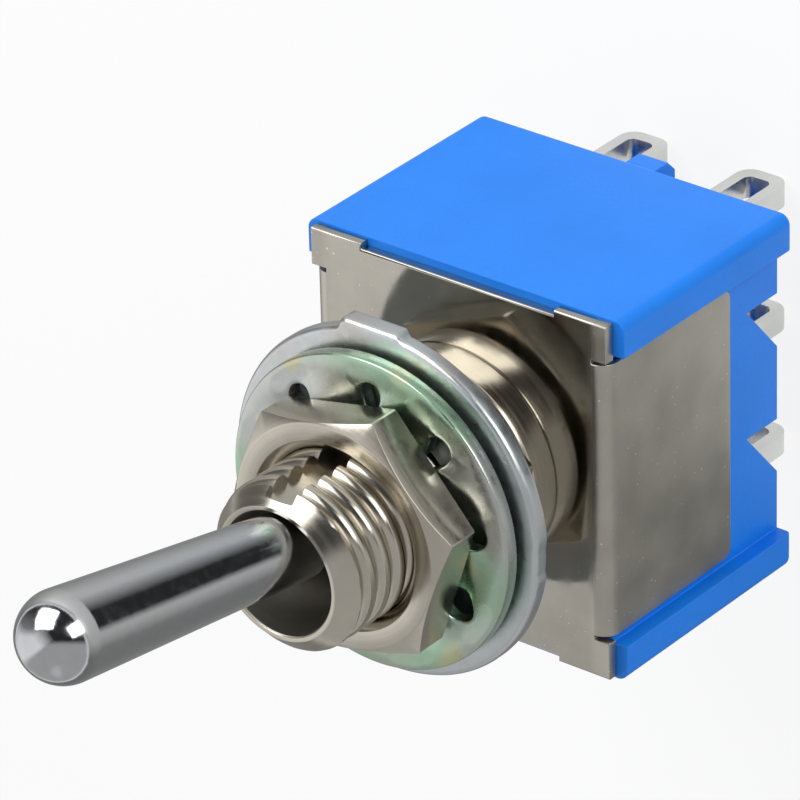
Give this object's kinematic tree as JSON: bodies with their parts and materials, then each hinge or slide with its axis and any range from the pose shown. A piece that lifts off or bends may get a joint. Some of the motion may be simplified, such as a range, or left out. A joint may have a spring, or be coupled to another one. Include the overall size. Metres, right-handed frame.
{
  "type": "panel toggle switch",
  "caption": "Miniature panel toggle switch: chromed lever, threaded bushing with nuts and washers, bent steel frame over a blue moulded case, solder lugs behind.",
  "frame": {"origin": "centre of the frame plate's outer face, on the bushing's axis", "axes": "+Z along the bushing towards the lever's tip, +Y the way the lever leans at rest, X across the two poles"},
  "size_m": [0.0128, 0.0132, 0.0351],
  "materials": {
    "blue_moulding": "satin moulded",
    "nickel_plated_steel": "polished plating",
    "nickel_plated_brass": "turned and plated",
    "yellow_zinc_steel": "zinc with a yellow passivation",
    "blue_zinc_steel": "zinc with a blue passivation",
    "chromed_brass": "polished",
    "dark_moulding": "matte",
    "tinned_brass": "tin dipped",
    "silver_contact": "bright silver",
    "brass": "stamped",
    "spring_steel": "drawn wire"
  },
  "bodies": {
    "housing": {"case": "blue_moulding", "frame": "nickel_plated_steel", "bushing": "nickel_plated_brass", "rear_nut": "nickel_plated_brass", "locking_ring": "blue_zinc_steel", "tooth_washer": "yellow_zinc_steel", "front_nut": "nickel_plated_brass", "common_terminal_left": "tinned_brass", "upper_terminal_left": "tinned_brass", "lower_terminal_left": "tinned_brass", "upper_contact_left": "silver_contact", "lower_contact_left": "silver_contact", "common_terminal_right": "tinned_brass", "upper_terminal_right": "tinned_brass", "lower_terminal_right": "tinned_brass", "upper_contact_right": "silver_contact", "lower_contact_right": "silver_contact"},
    "lever": {"lever": "chromed_brass", "yoke": "dark_moulding", "plunger_spring_left": "spring_steel", "plunger_spring_right": "spring_steel"},
    "plunger_left": {"plunger_left": "brass"},
    "rocker_left": {"rocker_left": "brass"},
    "plunger_right": {"plunger_right": "brass"},
    "rocker_right": {"rocker_right": "brass"}
  },
  "joints": [
    {"name": "lever_tilt", "type": "hinge", "parent": "housing", "child": "lever", "pos_m": [0, 0, 0.0048], "axis": [1, 0, 0], "range_deg": [0, 20.4]},
    {"name": "rocker_left_tip", "type": "hinge", "parent": "housing", "child": "rocker_left", "pos_m": [-0.0024, 0, -0.00618], "axis": [1, 0, 0], "range_deg": [-10, 0]},
    {"name": "rocker_right_tip", "type": "hinge", "parent": "housing", "child": "rocker_right", "pos_m": [0.0024, 0, -0.00618], "axis": [1, 0, 0], "range_deg": [-10, 0]},
    {"name": "plunger_left_slide", "type": "slide", "parent": "lever", "child": "plunger_left", "axis": [0, 0.1771, 0.9842], "range_m": [0, 0.0004], "stiffness_N_per_m": 50, "springref_m": -0.0005, "deforming": ["plunger_spring_left"]},
    {"name": "plunger_right_slide", "type": "slide", "parent": "lever", "child": "plunger_right", "axis": [0, 0.1771, 0.9842], "range_m": [0, 0.0004], "stiffness_N_per_m": 50, "springref_m": -0.0005, "deforming": ["plunger_spring_right"]}
  ],
  "couplings": [
    {"joint": "rocker_left_tip", "follows": "lever_tilt", "ratio": -0.49},
    {"joint": "rocker_right_tip", "follows": "lever_tilt", "ratio": -0.49}
  ]
}
